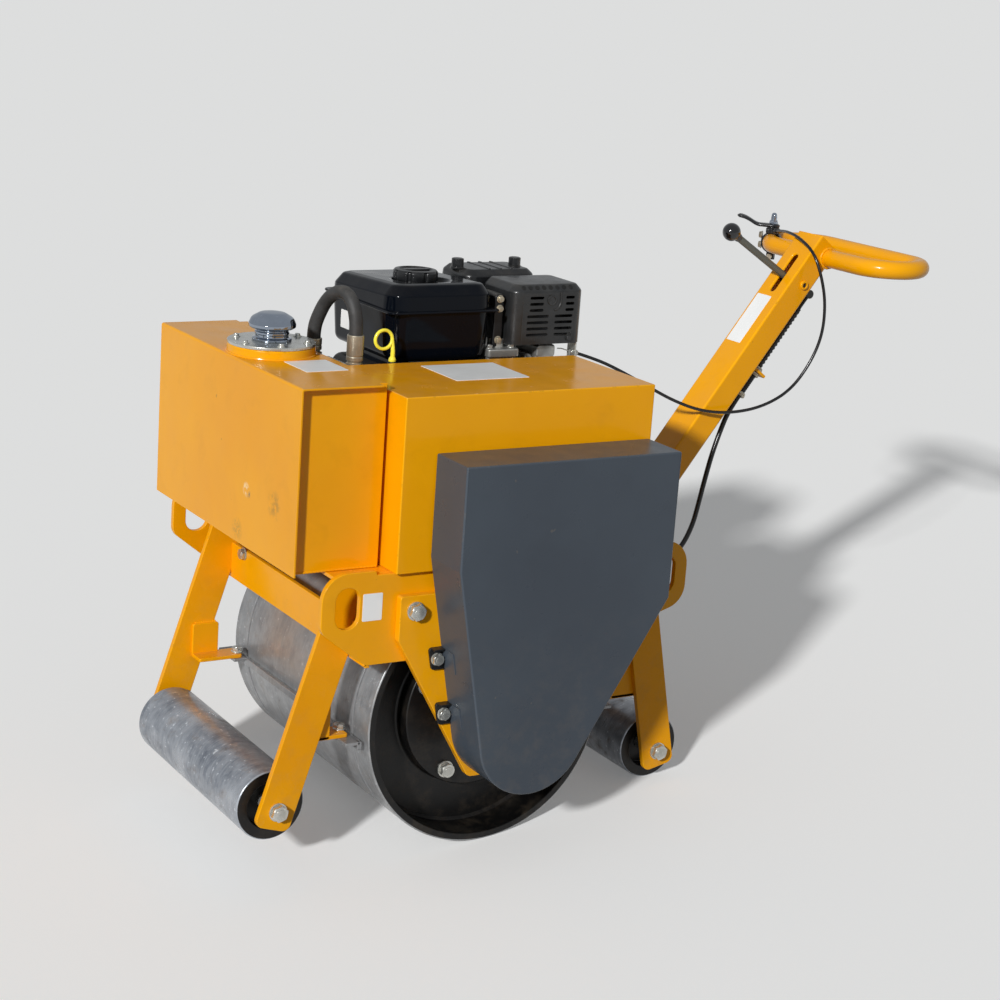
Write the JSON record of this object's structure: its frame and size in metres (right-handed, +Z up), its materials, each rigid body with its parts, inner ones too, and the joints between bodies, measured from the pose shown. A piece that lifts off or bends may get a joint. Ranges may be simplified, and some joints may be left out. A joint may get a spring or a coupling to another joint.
{
  "type": "walk-behind vibratory roller",
  "caption": "Walk-behind road roller: a wide steel drum under a sheet-metal body with engine and oil tank, guard rollers on arms and a leaning handle with a ring grip.",
  "frame": {"origin": "centre of the bounding box's base, on the floor that the drum and the rear guard roller stand on", "axes": "+X forward, away from the handle; +Y to the machine's left, the belt cover's side; +Z up"},
  "size_m": [1.4094, 0.707, 0.8946],
  "materials": {
    "yellow_paint": "glossy, lightly scratched",
    "grey_paint": "satin dark grey",
    "black_paint": "satin black",
    "worn_steel": "bare, worn and slightly rusted",
    "zinc": "zinc plated",
    "chrome": "polished",
    "black_plastic": "moulded",
    "yellow_plastic": "moulded",
    "hose_rubber": "matte hose",
    "cable_jacket": "smooth jacket"
  },
  "bodies": {
    "frame": {"side_plate_left": "yellow_paint", "side_plate_right": "yellow_paint", "front_cross_plate": "yellow_paint", "rear_cross_plate": "yellow_paint", "deck": "yellow_paint", "drum_support_left": "yellow_paint", "drum_support_right": "yellow_paint", "front_arm_left": "yellow_paint", "front_arm_right": "yellow_paint", "rear_arm_left": "yellow_paint", "rear_arm_right": "yellow_paint", "front_axle": "zinc", "rear_axle": "zinc", "front_scraper": "worn_steel", "rear_scraper": "worn_steel", "oil_tank": "yellow_paint", "filler_flange": "zinc", "breather_cap": "chrome", "drive_housing": "yellow_paint", "belt_cover": "grey_paint", "engine_base": "black_paint", "engine_block": "black_paint", "fan_housing": "black_paint", "fuel_tank": "black_paint", "fuel_cap": "black_plastic", "muffler": "zinc", "muffler_guard": "black_paint", "air_cleaner": "black_plastic", "dipstick": "yellow_plastic", "valve_block": "zinc", "hydraulic_hose": "hose_rubber", "handle_column": "yellow_paint", "handle_ring": "yellow_paint", "handle_bolt_low": "zinc", "handle_bolt_high": "zinc", "direction_lever": "zinc", "lever_knob": "black_plastic", "pull_rod": "black_plastic", "cable_gland": "zinc", "throttle_bracket": "zinc", "throttle_lever": "black_plastic", "throttle_cable": "cable_jacket", "control_cable": "cable_jacket"},
    "drum": {"drum_shell": "worn_steel", "drum_end_left": "black_paint", "drum_end_right": "black_paint"},
    "front_small_roller": {"front_roller": "worn_steel"},
    "rear_small_roller": {"rear_roller": "worn_steel"}
  },
  "joints": [
    {"name": "drum_spin", "type": "hinge", "parent": "frame", "child": "drum", "pos_m": [0.29041, -0.0385, 0.2125], "axis": [0, 1, 0], "continuous": true},
    {"name": "front_roller_spin", "type": "hinge", "parent": "frame", "child": "front_small_roller", "pos_m": [0.65089, -0.0385, 0.13125], "axis": [0, 1, 0], "continuous": true},
    {"name": "rear_roller_spin", "type": "hinge", "parent": "frame", "child": "rear_small_roller", "pos_m": [-0.05522, -0.0385, 0.057], "axis": [0, 1, 0], "continuous": true}
  ]
}
